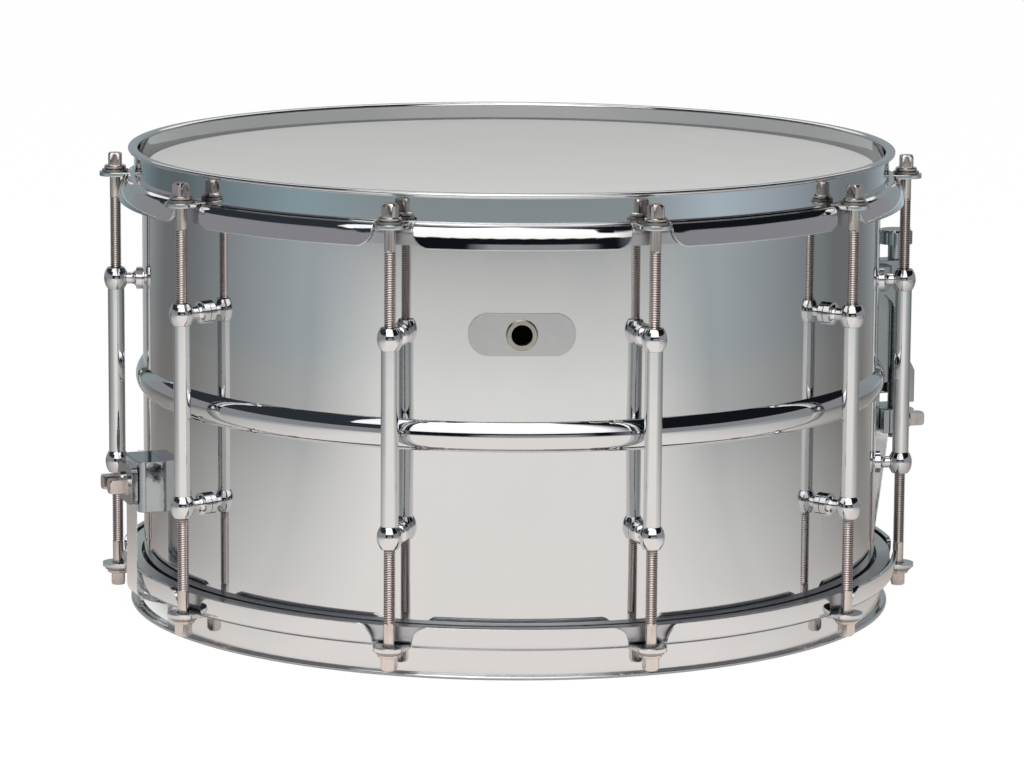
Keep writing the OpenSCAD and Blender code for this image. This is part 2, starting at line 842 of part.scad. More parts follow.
// Two cheeks on the pivots, joined by a thumb tab at the lower end
module lever_cheek() {
    arm = [[pivot_r, pivot_z], [arm_r, elbow_z], [arm_r, -lever_bottom]];
    inner = strip_side(arm, -arm_w / 2);
    outer = strip_side(arm, arm_w / 2);
    difference() {
        union() {
            translate(arm[0]) circle(hub_r);
            polygon(concat(inner, [
                [tab_r, -lever_bottom],
                [tab_r, tab_top],
                [arm_r + arm_w / 2, tab_top + tab_r - arm_r],
                outer[1],
                outer[0]
            ]));
        }
        translate(arm[0]) circle(d = pivot_d + 2 * turn_gap);
    }
}

module strainer_lever() {
    tab_w = 2 * cheek_y + lever_t;
    color("silver") lifted() at(strainer_angle) {
        for (side = [-1, 1]) translate([0, side * (cheek_y + lever_t / 2), 0])
            across(lever_t) lever_cheek();
        translate([tab_r - tab_t, -tab_w / 2, -lever_bottom]) cube([tab_t, tab_w, tab_h]);
    }
}

module lever_pivots() {
    inner = slot_w / 2 + through;
    outer = cheek_y + lever_t + turn_gap;
    color("darkgray") lifted() at(strainer_angle) for (side = [0, 1]) mirror([0, side, 0])
        translate([pivot_r, 0, pivot_z]) rotate([-90, 0, 0]) {
            translate([0, 0, inner]) cylinder(d = pivot_d, h = outer - inner);
            translate([0, 0, outer]) cylinder(d1 = 2 * pivot_d, d2 = 1.6 * pivot_d, h = pivot_head_h);
        }
}

// The block travels on the screw, and holds the strap against the plate behind it
module strap_block() {
    in_r = strap_r + strap_t / 2;
    color("lightgray") lifted() at(strainer_angle) translate([0, 0, -clamp_depth]) difference() {
        translate([in_r, -clamp_w / 2, -clamp_h / 2]) cube([block_r - in_r, clamp_w, clamp_h]);
        translate([screw_r, 0, 0]) cylinder(d = screw_d + 2 * thread_gap, h = clamp_h + through, center = true);
        for (side = [-1, 1]) outwards(in_r - through, 0, side * clamp_screw_y)
            cylinder(d = clamp_screw_d + 2 * thread_gap, h = block_r - in_r + 2 * through);
    }
}

module strap_plate() {
    color("lightgray") lifted() at(strainer_angle) translate([0, 0, -clamp_depth]) difference() {
        translate([clamp_plate_r, -clamp_w / 2, -clamp_h / 2]) cube([clamp_plate_t, clamp_w, clamp_h]);
        for (side = [-1, 1]) outwards(clamp_plate_r - through, 0, side * clamp_screw_y)
            cylinder(d = clamp_screw_d + 2 * thread_gap, h = clamp_plate_t + 2 * through);
    }
}

module strap_screws() {
    color("darkgray") lifted() at(strainer_angle) for (side = [-1, 1])
        outwards(block_r, -clamp_depth, side * clamp_screw_y) key_screw(clamp_screw_d, block_r - clamp_plate_r);
}

module strainer_screws() {
    color("darkgray") lifted() at(strainer_angle) for (z = strainer_screw_z)
        mounting_screw(z, mount_screw_reach);
}

// Butt plate

module butt_body() {
    color("silver") lifted() at(butt_angle) difference() {
        translate([0, 0, -butt_depth - butt_h / 2]) linear_extrude(butt_h) difference() {
            translate([shell_r - shell_wall, -butt_w / 2]) square([butt_out + shell_wall, butt_w]);
            for (side = [0, 1]) mirror([0, side]) translate([butt_r, butt_w / 2]) corner_cut(body_corner);
        }
        translate([0, 0, -butt_depth])
            cylinder(r = shell_r + seat_gap, h = butt_h + through, center = true, $fn = large_fn);
        for (side = [-1, 1]) outwards(butt_r - butt_screw_reach - hole_gap, -butt_depth, side * clamp_screw_y)
            cylinder(d = clamp_screw_d + 2 * thread_gap, h = butt_screw_reach + hole_gap + through);
        for (z = butt_screw_z) outwards(shell_r - shell_wall, z)
            cylinder(d = lug_screw_d + 2 * turn_gap, h = shell_wall + mount_screw_reach + hole_gap);
    }
}

module butt_plate() {
    color("lightgray") lifted() at(butt_angle) translate([0, 0, -butt_depth])
        through_wall(butt_plate_in_r, butt_plate_t) difference() {
            rounded_rectangle(butt_plate_w, butt_plate_h, body_corner);
            for (side = [-1, 1]) translate([side * clamp_screw_y, 0]) circle(d = clamp_screw_d + 2 * thread_gap);
        }
}

module butt_clamp_screws() {
    face = butt_plate_in_r + butt_plate_t;
    color("darkgray") lifted() at(butt_angle) for (side = [-1, 1])
        outwards(face, -butt_depth, side * clamp_screw_y)
            key_screw(clamp_screw_d, butt_plate_t + strap_t + butt_screw_reach);
}

module butt_screws() {
    color("darkgray") lifted() at(butt_angle) for (z = butt_screw_z) mounting_screw(z, mount_screw_reach);
}

// Snares

module snare_strands() {
    color("gray") lifted() at(strainer_angle) for (i = [1:strand_count])
        translate([0, (i - (strand_count + 1) / 2) * strand_pitch, strand_z])
            rotate([0, 90, 0]) cylinder(d = strand_d, h = 2 * strand_half, center = true);
}

module snare_end_plates() {
    color("silver") lifted() for (a = [strainer_angle, butt_angle]) at(a)
        translate([end_plate_r - end_plate_w, -end_plate_len / 2, plate_top - end_plate_t])
            cube([end_plate_w, end_plate_len, end_plate_t]);
}

// A strap from a clamp, with holes for the clamp's two screws, to the snares' end plate
module strap(r, clamp_z, half_clamp) {
    difference() {
        across(strap_w) strip([
            [r, clamp_z + half_clamp], [r, clamp_z - half_clamp], strap_turn, strap_edge, strap_land, strap_end
        ], strap_t);
        for (side = [-1, 1]) outwards(r - through, clamp_z, side * clamp_screw_y)
            cylinder(d = clamp_screw_d + 2 * thread_gap, h = 2 * through);
    }
}

module strainer_strap() {
    color("white") lifted() at(strainer_angle) strap(strap_r, -clamp_depth, clamp_h / 2);
}

module butt_strap() {
    color("white") lifted() at(butt_angle) strap(butt_strap_r, -butt_depth, butt_h / 2);
}

shell();
vent_eyelet();
vent_plate();
batter_film();
batter_flesh_hoop();
snare_film();
snare_flesh_hoop();
batter_hoop();
snare_hoop();
lug_tubes();
lug_posts();
lug_inserts();
lug_screws();
lug_washers();
for (i = [1:lug_count]) {
    batter_rod(i);
    snare_rod(i);
}
batter_rod_washers();
snare_rod_washers();
strainer_body();
strainer_lever();
lever_pivots();
strainer_carriage();
tension_knob();
tension_screw();
screw_clip();
strap_block();
strap_plate();
strap_screws();
strainer_screws();
butt_body();
butt_plate();
butt_clamp_screws();
butt_screws();
snare_strands();
snare_end_plates();
strainer_strap();
butt_strap();
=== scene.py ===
"""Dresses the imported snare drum: chromed shell and hoops, nickelled rods, coated head, coiled snares."""

import json
import logging
import math
from collections.abc import Callable
from dataclasses import dataclass, field
from enum import Enum

import bpy
from mathutils import Matrix, Vector


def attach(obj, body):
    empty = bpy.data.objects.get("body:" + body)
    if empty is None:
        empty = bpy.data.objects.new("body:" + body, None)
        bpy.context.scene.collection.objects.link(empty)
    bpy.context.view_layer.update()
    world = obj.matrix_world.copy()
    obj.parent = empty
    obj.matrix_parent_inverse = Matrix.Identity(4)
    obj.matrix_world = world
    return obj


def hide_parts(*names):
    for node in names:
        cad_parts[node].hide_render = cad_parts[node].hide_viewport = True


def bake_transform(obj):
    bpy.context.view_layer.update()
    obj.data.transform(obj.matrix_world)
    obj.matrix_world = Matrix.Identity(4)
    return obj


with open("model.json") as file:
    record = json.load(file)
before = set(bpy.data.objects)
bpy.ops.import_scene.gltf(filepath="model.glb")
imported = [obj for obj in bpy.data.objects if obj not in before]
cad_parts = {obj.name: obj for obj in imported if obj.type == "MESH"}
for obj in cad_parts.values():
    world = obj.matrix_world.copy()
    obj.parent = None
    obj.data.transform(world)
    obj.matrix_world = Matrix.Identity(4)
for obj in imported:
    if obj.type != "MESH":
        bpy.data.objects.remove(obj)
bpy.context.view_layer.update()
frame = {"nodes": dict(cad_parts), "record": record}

MM = 0.001
MID_Z = 110.0
SMOOTH_ANGLE = math.radians(38)
WHITE = (1.0, 1.0, 1.0, 1.0)
log = logging.getLogger("snare_drum")

Point = tuple[float, float, float]
Ring = list[Point]
# Radius and height of a stop on a strap's way, and the body that holds it there
Stop = tuple[float, float, str]
# Distance from the drum's axis in metres, and the colour there
Shade = tuple[float, str]


def linear(code: str) -> tuple[float, float, float, float]:
    """Turns an sRGB hex value into linear light.

    Args:
        code: The colour as six hex digits after a hash sign.

    Returns:
        Red, green and blue in linear light, and an alpha of 1.
    """
    parts = [int(code[i : i + 2], 16) / 255 for i in (1, 3, 5)]
    red, green, blue = (c / 12.92 if c <= 0.04045 else ((c + 0.055) / 1.055) ** 2.4 for c in parts)
    return red, green, blue, 1.0


def per_mm(size: float) -> float:
    """Gives the texture scale at which a pattern repeats about every size millimetres."""
    return 1 / (size * MM)


def add(
    tree: bpy.types.NodeTree,
    kind: str,
    inputs: dict[str, object] | None = None,
    links: dict[str, bpy.types.NodeSocket] | None = None,
    **settings: object,
) -> bpy.types.Node:
    """Adds a node with its settings and links.

    Args:
        tree: The node tree that it goes into.
        kind: The node's type name.
        inputs: Values for its unlinked sockets, by name.
        links: Sockets that feed its own, by name.
        settings: The node's own properties.

    Returns:
        The new node.
    """
    node = tree.nodes.new(kind)
    for name, value in settings.items():
        setattr(node, name, value)
    for name, value in (inputs or {}).items():
        node.inputs[name].default_value = value
    for name, socket in (links or {}).items():
        tree.links.new(socket, node.inputs[name])
    return node


class Lay(Enum):
    """The way a metal's surface was worked, as the stretch of its marks along X, Y and Z."""

    POLISHED = (1.0, 1.0, 1.0)
    ROLLED = (1.0, 1.0, 0.35)
    DRAWN = (1.0, 1.0, 0.06)
    BRUSHED = (0.03, 1.0, 1.0)


@dataclass(frozen=True)
class Finish:
    """A surface, named for its material and for how it was made."""

    name: str
    slot: str

    def dress(self, tree: bpy.types.NodeTree, shader: bpy.types.Node) -> None:
        """Adds the finish's own nodes; a subclass fills it in."""

    def material(self) -> bpy.types.Material:
        """Builds the finish's material the first time that it is asked for.

        Returns:
            The material.
        """
        found = bpy.data.materials.get(self.name)
        if found:
            return found
        made = bpy.data.materials.new(self.name)
        made.use_nodes = True
        tree = made.node_tree
        tree.nodes.clear()
        shader = add(tree, "ShaderNodeBsdfPrincipled")
        self.dress(tree, shader)
        add(tree, "ShaderNodeOutputMaterial", links={"Surface": shader.outputs["BSDF"]})
        return made


@dataclass(frozen=True)
class Metal(Finish):
    """A plated or bare metal: a tone, a darker tone that smudges, working marks and thread roots mix in,
    and softened edges.
    """

    colour: str = "#D5D7D8"
    darker_tone: str = "#C9CCCF"
    lay: Lay = Lay.POLISHED
    rough: tuple[float, float] = (0.03, 0.08)
    smudge_mm: float = 40.0
    mark_mm: float = 60.0
    mark_height_mm: float = 0.03
    edge_mm: float = 0.3
    edge_rough: float = 0.15

    def dress(self, tree: bpy.types.NodeTree, shader: bpy.types.Node) -> None:
        """Adds smudged gloss, working marks and edges that catch the light.

        Args:
            tree: The material's nodes.
            shader: The surface that they feed.
        """
        coords = add(tree, "ShaderNodeTexCoord").outputs["Object"]
        laid = add(tree, "ShaderNodeMapping", {"Scale": self.lay.value}, {"Vector": coords})
        smudge = add(
            tree,
            "ShaderNodeTexNoise",
            {"Scale": per_mm(self.smudge_mm), "Detail": 7.0, "Roughness": 0.62},
            {"Vector": coords},
        )
        marks = add(
            tree,
            "ShaderNodeTexNoise",
            {"Scale": per_mm(self.mark_mm), "Detail": 3.0, "Roughness": 0.5},
            {"Vector": laid.outputs["Vector"]},
        )
        edge = add(tree, "ShaderNodeBevel", {"Radius": self.edge_mm * MM}, samples=6)
        facing = add(tree, "ShaderNodeNewGeometry").outputs["Normal"]
        flatness = add(
            tree,
            "ShaderNodeVectorMath",
            links={0: edge.outputs["Normal"], 1: facing},
            operation="DOT_PRODUCT",
        )
        on_edge = add(
            tree,
            "ShaderNodeMapRange",
            {"From Min": 0.999, "From Max": 0.9, "To Min": 0.0, "To Max": self.edge_rough},
            {"Value": flatness.outputs["Value"]},
        )
        gloss = add(
            tree,
            "ShaderNodeMapRange",
            {"From Min": 0.35, "From Max": 0.75, "To Min": self.rough[0], "To Max": self.rough[1]},
            {"Value": smudge.outputs["Fac"]},
        )
        roughness = add(
            tree,
            "ShaderNodeMath",
            links={0: gloss.outputs["Result"], 1: on_edge.outputs["Result"]},
            operation="ADD",
            use_clamp=True,
        )
        # The darker tone is mixed in towards the roots of a thread, so a thread's hollows are drawn darker
        root = add(tree, "ShaderNodeAttribute", attribute_name="thread_root")
        darkening = add(
            tree,
            "ShaderNodeMath",
            links={0: marks.outputs["Fac"], 1: smudge.outputs["Fac"], 2: root.outputs["Fac"]},
            operation="MULTIPLY_ADD",
            use_clamp=True,
        )
        tone = add(
            tree,
            "ShaderNodeMixRGB",
            {"Color1": linear(self.colour), "Color2": linear(self.darker_tone)},
            {"Fac": darkening.outputs["Value"]},
        )
        relief = add(
            tree,
            "ShaderNodeBump",
            {"Strength": 1.0, "Distance": self.mark_height_mm * MM},
            {"Height": marks.outputs["Fac"], "Normal": edge.outputs["Normal"]},
        )
        shader.inputs["Metallic"].default_value = 1.0
        tree.links.new(tone.outputs["Color"], shader.inputs["Base Color"])
        tree.links.new(roughness.outputs["Value"], shader.inputs["Roughness"])
        tree.links.new(relief.outputs["Normal"], shader.inputs["Normal"])


@dataclass(frozen=True)
class CoatedFilm(Finish):
    """Polyester film under a sprayed white coat."""

    colour: str = "#DCDCDA"
    thin: str = "#D2D3D2"
    cloud_mm: float = 55.0
    grit_mm: float = 1.1
    grit_height_mm: float = 0.06

    def dress(self, tree: bpy.types.NodeTree, shader: bpy.types.Node) -> None:
        """Adds the spray's clouds and its grit.

        Args:
            tree: The material's nodes.
            shader: The surface that they feed.
        """
        coords = add(tree, "ShaderNodeTexCoord").outputs["Object"]
        cloud = add(
            tree,
            "ShaderNodeTexNoise",
            {"Scale": per_mm(self.cloud_mm), "Detail": 4.0, "Roughness": 0.55},
            {"Vector": coords},
        )
        grit = add(
            tree,
            "ShaderNodeTexNoise",
            {"Scale": per_mm(self.grit_mm), "Detail": 3.0, "Roughness": 0.7},
            {"Vector": coords},
        )
        tone = add(
            tree,
            "ShaderNodeMixRGB",
            {"Color1": linear(self.colour), "Color2": linear(self.thin)},
            {"Fac": cloud.outputs["Fac"]},
        )
        rough = add(
            tree,
            "ShaderNodeMapRange",
            {"From Min": 0.3, "From Max": 0.7, "To Min": 0.6, "To Max": 0.8},
            {"Value": grit.outputs["Fac"]},
        )
        relief = add(
            tree,
            "ShaderNodeBump",
            {"Strength": 0.8, "Distance": self.grit_height_mm * MM},
            {"Height": grit.outputs["Fac"]},
        )
        shader.inputs["IOR"].default_value = 1.5
        tree.links.new(tone.outputs["Color"], shader.inputs["Base Color"])
        tree.links.new(rough.outputs["Result"], shader.inputs["Roughness"])
        tree.links.new(relief.outputs["Normal"], shader.inputs["Normal"])


@dataclass(frozen=True)
class ClearFilm(Finish):
    """Clear or hazy polyester film."""

    colour: str = "#F1F5F6"
    dusty: str = "#E2E8EA"
    clarity: float = 0.85
    rough: tuple[float, float] = (0.06, 0.2)
    haze_mm: float = 9.0
    ior: float = 1.57

    def dress(self, tree: bpy.types.NodeTree, shader: bpy.types.Node) -> None:
        """Adds uneven haze and a drawn film's faint waves.

        Args:
            tree: The material's nodes.
            shader: The surface that they feed.
        """
        coords = add(tree, "ShaderNodeTexCoord").outputs["Object"]
        haze = add(
            tree,
            "ShaderNodeTexNoise",
            {"Scale": per_mm(self.haze_mm), "Detail": 5.0, "Roughness": 0.6},
            {"Vector": coords},
        )
        tone = add(
            tree,
            "ShaderNodeMixRGB",
            {"Color1": linear(self.colour), "Color2": linear(self.dusty)},
            {"Fac": haze.outputs["Fac"]},
        )
        rough = add(
            tree,
            "ShaderNodeMapRange",
            {"From Min": 0.3, "From Max": 0.75, "To Min": self.rough[0], "To Max": self.rough[1]},
            {"Value": haze.outputs["Fac"]},
        )
        waves = add(
            tree,
            "ShaderNodeBump",
            {"Strength": 0.5, "Distance": 0.05 * MM},
            {"Height": haze.outputs["Fac"]},
        )
        shader.inputs["IOR"].default_value = self.ior
        shader.inputs["Transmission Weight"].default_value = self.clarity
        tree.links.new(tone.outputs["Color"], shader.inputs["Base Color"])
        tree.links.new(rough.outputs["Result"], shader.inputs["Roughness"])
        tree.links.new(waves.outputs["Normal"], shader.inputs["Normal"])


FINISHES: dict[str, Finish] = {
    finish.slot: finish
    for finish in (
        # Chrome over polished rolled sheet: a cool mirror with faint roll waves and hand smudges
        Metal("rolled_steel_chromed", "shell_chrome", lay=Lay.ROLLED, edge_mm=0.2),
        # Chrome over pressed sheet: the same mirror, with its edges rounded by the polishing wheel
        Metal("pressed_steel_chromed", "hoop_chrome", mark_mm=35.0, edge_mm=0.8),
        # Chrome over turned brass: a little brighter and tighter than the sheet
        Metal(
            "turned_brass_chromed", "lug_chrome", "#D8D9DA", "#CBCDCF", smudge_mm=12.0, mark_mm=14.0
        ),
        # Chrome over a zinc casting: a mirror with the casting's soft unevenness
        Metal(
            "cast_zinc_chromed",
            "cast_chrome",
            "#A9AFB2",
            "#939A9E",
            rough=(0.06, 0.16),
            smudge_mm=9.0,
            mark_mm=5.0,
            mark_height_mm=0.05,
            edge_mm=0.5,
        ),
        # Dull nickel over a rolled thread: a warm satin grey, darker in the thread's roots
        Metal(
            "rolled_thread_steel_nickelled",
            "rod_nickel",
            "#DAD2CD",
            "#A59D98",
            Lay.DRAWN,
            rough=(0.16, 0.3),
            smudge_mm=7.0,
            mark_mm=2.0,
            mark_height_mm=0.02,
            edge_mm=0.25,
        ),
        # Nickel over stamped steel: satin with the die's coarse grain
        Metal(
            "stamped_steel_nickelled",
            "washer_steel",
            "#A5A29C",
            "#84817B",
            rough=(0.22, 0.4),
            mark_mm=1.5,
        ),
        # Zinc over steel: a bluish satin
        Metal(
            "steel_zinc_plated",
            "screw_steel",
            "#A9ADB1",
            "#8C9196",
            rough=(0.25, 0.42),
            mark_mm=2.0,
        ),
        # Bare sheet brushed lengthways: fine lines that stretch the highlights, drawn coarser than
        # the real 0.1 mm so that they show
        Metal(
            "brushed_steel_sheet",
            "plate_steel",
            "#C4C6C7",
            "#B6B9BB",
            Lay.BRUSHED,
            rough=(0.2, 0.3),
            smudge_mm=30.0,
            mark_mm=0.5,
            mark_height_mm=0.01,
            edge_mm=0.25,
        ),
        # A nickelled eyelet curled over in a press: satin and a little warm
        Metal(
            "rolled_eyelet_nickelled",
            "eyelet_nickel",
            "#B5B0A8",
            "#8F8A82",
            rough=(0.14, 0.28),
            mark_mm=3.0,
        ),
        # Turned brass, unplated: warm yellow with tool marks
        Metal(
            "turned_brass", "insert_brass", "#C9A45A", "#A08243", rough=(0.18, 0.3), mark_mm=1.0
        ),
        # Aluminium channel as it left the mill: pale and satin
        Metal(
            "rolled_aluminium_channel",
            "flesh_alloy",
            "#BFC2C4",
            "#AAADB0",
            rough=(0.3, 0.45),
            mark_mm=3.0,
        ),
        # Bright spring wire, wound into coils: fine lengthways draw lines
        Metal(
            "coiled_steel_wire",
            "snare_wire",
            "#B9BBBC",
            "#8E9092",
            rough=(0.16, 0.3),
            smudge_mm=15.0,
            mark_mm=1.0,
        ),
        # A white coat sprayed on polyester film: matt, slightly cloudy and gritty, the grit drawn
        # coarser than the real 0.2 mm so that it shows
        CoatedFilm("coated_polyester_film", "batter_film"),
        # Thin polyester film without a coat: see-through with a grey haze
        ClearFilm(
            "hazy_polyester_film",
            "snare_film",
            "#E8ECEE",
            "#D5DADD",
            clarity=0.72,
            rough=(0.22, 0.38),
            haze_mm=30.0,
        ),
        # Clear polyester strip: see-through, with glints along its bends
        ClearFilm("clear_polyester_strip", "strap_film"),
    )
}


@dataclass
class MeshMaker:
    """Collects lofted solids into one mesh."""

    points: list[Point] = field(default_factory=list)
    faces: list[tuple[int, ...]] = field(default_factory=list)
    roots: list[float] = field(default_factory=list)

    def loft(self, rings: list[Ring], root: list[list[float]] | None = None) -> None:
        """Adds a closed solid through rings that have the same number of points.

        Args:
            rings: The rings, in order, each counter-clockwise seen from the last one's side.
            root: How deep each point lies in a thread, from 0 to 1.
        """
        first = len(self.points)
        count = len(rings[0])
        for index, ring in enumerate(rings):
            self.points.extend(ring)
            self.roots.extend(root[index] if root else [0.0] * count)
        for level in range(len(rings) - 1):
            low = first + level * count
            high = low + count
            for i in range(count):
                j = (i + 1) % count
                self.faces.append((low + i, low + j, high + j, high + i))
        self.faces.append(tuple(range(first + count - 1, first - 1, -1)))
        top = first + (len(rings) - 1) * count
        self.faces.append(tuple(range(top, top + count)))

    def mesh(self, name: str) -> bpy.types.Mesh:
        """Makes the mesh, in metres, smooth apart from its real edges.

        Args:
            name: The mesh's name.

        Returns:
            The mesh.
        """
        made = bpy.data.meshes.new(name)
        made.from_pydata([tuple(c * MM for c in p) for p in self.points], [], self.faces)
        made.shade_smooth()
        made.set_sharp_from_angle(angle=SMOOTH_ANGLE)
        root = made.attributes.new("thread_root", "FLOAT", "POINT")
        root.data.foreach_set("value", self.roots)
        return made


def piece(name: str, mesh: bpy.types.Mesh, slot: str) -> bpy.types.Object:
    """Puts a mesh into the scene as a piece with a finish.

    Args:
        name: The piece's name.
        mesh: Its shape.
        slot: The record's material slot that its finish comes from.

    Returns:
        The piece.
    """
    made = bpy.data.objects.new(name, mesh)
    bpy.context.scene.collection.objects.link(made)
    if not mesh.materials:
        mesh.materials.append(FINISHES[slot].material())
    log.info("%s, %d points", name, len(mesh.vertices))
    return made


def circle(radius: float, z: float, count: int) -> Ring:
    """Gives a ring of points round the Z axis."""
    turns = [2 * math.pi * i / count for i in range(count)]
    return [(radius * math.cos(a), radius * math.sin(a), z) for a in turns]


def facing(angle: float) -> Matrix:
    """Gives the frame of a fitting at an angle round the drum: +X outwards, Z 0 at the shell's middle."""
    turn = Matrix.Rotation(math.radians(angle - 90), 4, "Z")
    return Matrix.Translation(Vector((0, 0, MID_Z * MM))) @ turn


@dataclass
class Thread:
    """A rolled screw thread along Z, right-handed."""

    outer_d: float
    root_d: float
    pitch: float
    bottom: float
    top: float
    sides: int = 20
    steps: int = 6
    tip_in: float = 0.5
    tip_h: float = 0.4

    def add_to(self, maker: MeshMaker, ends: list[tuple[float, float]]) -> None:
        """Adds the thread, with plain turned ends above it.

        Args:
            maker: What collects the shape.
            ends: Radius and height of each ring above the thread.
        """
        middle = (self.outer_d + self.root_d) / 4
        depth = (self.outer_d - self.root_d) / 4
        count = round((self.top - self.bottom) / self.pitch * self.steps)
        rings = [circle(self.root_d / 2 - self.tip_in, self.bottom - self.tip_h, self.sides)]
        roots = [[0.0] * self.sides]
        for row in range(count + 1):
            z = self.bottom + row * self.pitch / self.steps
            ring, root = [], []
            for i in range(self.sides):
                phase = 2 * math.pi * (row / self.steps - i / self.sides)
                radius = middle + depth * math.cos(phase)
                angle = 2 * math.pi * i / self.sides
                ring.append((radius * math.cos(angle), radius * math.sin(angle), z))
                root.append(0.5 - 0.5 * math.cos(phase))
            rings.append(ring)
            roots.append(root)
        for radius, z in ends:
            rings.append(circle(radius, z, self.sides))
            roots.append([0.0] * self.sides)
        maker.loft(rings, roots)


@dataclass
class TensionRods:
    """Twenty rods: a rolled thread, a flange and a square head for a drum key."""

    circle_r: float = 189.9
    lugs: int = 10
    thread: Thread = field(default_factory=lambda: Thread(5.4, 4.6, 25.4 / 24, 36.4, 84.0))
    seat: float = 97.73
    flange_d: float = 10.4
    flange_h: float = 1.8
    flange_round: float = 0.45
    shank_less: float = 0.1
    shank_from: float = 1.0
    sink: float = 0.5
    head_sink: float = 0.2
    head_w: float = 6.4
    head_h: float = 6.0
    head_round: float = 0.5
    head_chamfer: float = 0.9
    chamfer_slope: float = 1.7
    head_sides: int = 48

    def flange_rings(self) -> list[Ring]:
        """Gives the flange, with its edge turned round.

        Returns:
            The flange's rings, from its seat up.
        """
        r, z, soft = self.flange_d / 2, self.seat, self.flange_round
        steps = [(r - soft, 0), (r, soft), (r, self.flange_h - soft), (r - soft, self.flange_h)]
        return [circle(radius, z + rise, self.head_sides) for radius, rise in steps]

    def head_radius(self, angle: float, limit: float) -> float:
        """Gives how far the square head reaches in a direction.

        Args:
            angle: The direction round the rod.
            limit: The radius that the head's corners are turned to.

        Returns:
            The distance from the rod's axis.
        """
        flat = self.head_w / 2 / max(abs(math.cos(angle)), abs(math.sin(angle)))
        corner = self.head_w / 2 * math.sqrt(2) - self.head_round
        return min(flat, corner, limit)

    def head_rings(self) -> list[Ring]:
        """Gives the square head, with its corners turned off at the top.

        Returns:
            The head's rings, from inside the flange up.
        """
        base = self.seat + self.flange_h - self.head_sink
        top = self.seat + self.flange_h + self.head_h
        corner = self.head_w / 2 * math.sqrt(2)
        cut = corner - self.chamfer_slope * self.head_chamfer
        levels = [(base, corner), (top - self.head_chamfer, corner), (top, cut)]
        rings = []
        for z, limit in levels:
            ring = []
            for i in range(self.head_sides):
                angle = 2 * math.pi * i / self.head_sides
                radius = self.head_radius(angle, limit)
                ring.append((radius * math.cos(angle), radius * math.sin(angle), z))
            rings.append(ring)
        return rings

    def build(self) -> None:
        """Makes one rod's mesh and sets twenty of it in their bodies."""
        maker = MeshMaker()
        shank = self.thread.outer_d / 2 - self.shank_less
        start = self.thread.top + self.shank_from
        self.thread.add_to(maker, [(shank, start), (shank, self.seat + self.sink)])
        maker.loft(self.flange_rings())
        maker.loft(self.head_rings())
        mesh = maker.mesh("tension_rod")
        for i in range(self.lugs):
            place = facing((i + 0.5) * 360 / self.lugs)
            for side, flip in (("batter", 0.0), ("snare", math.pi)):
                node = f"{side}_rod_{i + 1}"
                rod = piece(f"{node}_cut", mesh, "rod_nickel")
                out = Matrix.Translation(Vector((self.circle_r * MM, 0, 0)))
                rod.matrix_world = place @ out @ Matrix.Rotation(flip, 4, "X")
                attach(rod, f"{node}_body")
                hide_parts(node)


@dataclass
class ThrowOff:
    """The throw-off's threaded screw and slotted pivots; its castings are the CAD's own."""

    angle: float = 108.0
    screw_r: float = 202.3
    screw_bottom: float = -44.0
    screw_top: float = 57.0
    screw_d: float = 4.8
    screw_root_d: float = 4.0
    screw_pitch: float = 0.8
    thread_top: float = 36.0
    thread_sides: int = 24
    plain_from: float = 37.0
    pivot_r: float = 190.0
    pivot_z: float = 36.0
    pivot_face: float = 14.85
    pivot_d: float = 8.0
    pivot_top_d: float = 6.4
    pivot_h: float = 2.0
    pivot_shank: float = 7.2
    pivot_shank_d: float = 4.0
    pivot_sink: float = 0.1
    slot_w: float = 1.2
    slot_depth: float = 0.9
    sides: int = 32

    def build_screw(self) -> None:
        """Makes the fine-tension screw."""
        maker = MeshMaker()
        thread = Thread(
            self.screw_d,
            self.screw_root_d,
            self.screw_pitch,
            self.screw_bottom + Thread.tip_h,
            self.thread_top,
            self.thread_sides,
        )
        plain = self.screw_d / 2
        thread.add_to(maker, [(plain, self.plain_from), (plain, self.screw_top)])
        screw = piece("tension_screw_cut", maker.mesh("tension_screw_cut"), "screw_steel")
        screw.matrix_world = facing(self.angle) @ Matrix.Translation(Vector((self.screw_r * MM, 0, 0)))
        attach(screw, "tuner")
        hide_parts("tension_screw")

    def half_head(self, side: float, z: float, radius: float) -> Ring:
        """Gives half of a slotted head's outline, on one side of its slot.

        Args:
            side: 1 or -1, for the half.
            z: The outline's height.
            radius: The head's radius there.

        Returns:
            The outline's points.
        """
        low = math.asin(self.slot_w / 2 / radius)
        steps = self.sides // 2
        turns = [low + (math.pi - 2 * low) * i / steps for i in range(steps + 1)]
        return [(side * radius * math.cos(a), side * radius * math.sin(a), z) for a in turns]

    def build_pivots(self) -> None:
        """Makes the lever's two pivot screws, with slots for a screwdriver."""
        maker = MeshMaker()
        slot_z = self.pivot_h - self.slot_depth
        slot_r = self.pivot_d / 2 - (self.pivot_d - self.pivot_top_d) / 2 * slot_z / self.pivot_h
        shank_r, top_r = self.pivot_shank_d / 2, self.pivot_top_d / 2
        ends = (self.pivot_shank - self.pivot_face, self.pivot_sink)
        maker.loft([circle(shank_r, z, self.sides) for z in ends])
        maker.loft([circle(self.pivot_d / 2, 0.0, self.sides), circle(slot_r, slot_z, self.sides)])
        for side in (1.0, -1.0):
            low, high = self.half_head(side, slot_z, slot_r), self.half_head(side, self.pivot_h, top_r)
            maker.loft([low, high])
        mesh = maker.mesh("lever_pivot_slotted")
        for name, side in (("left", 1.0), ("right", -1.0)):
            pivot = piece(f"lever_pivot_{name}", mesh, "screw_steel")
            spot = Vector((self.pivot_r * MM, side * self.pivot_face * MM, self.pivot_z * MM))
            turn = Matrix.Rotation(-side * math.pi / 2, 4, "X")
            pivot.matrix_world = facing(self.angle) @ Matrix.Translation(spot) @ turn
            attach(pivot, "drum")
            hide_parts("lever_pivots")

    def build(self) -> None:
        """Makes the throw-off's own pieces."""
        self.build_screw()
        self.build_pivots()


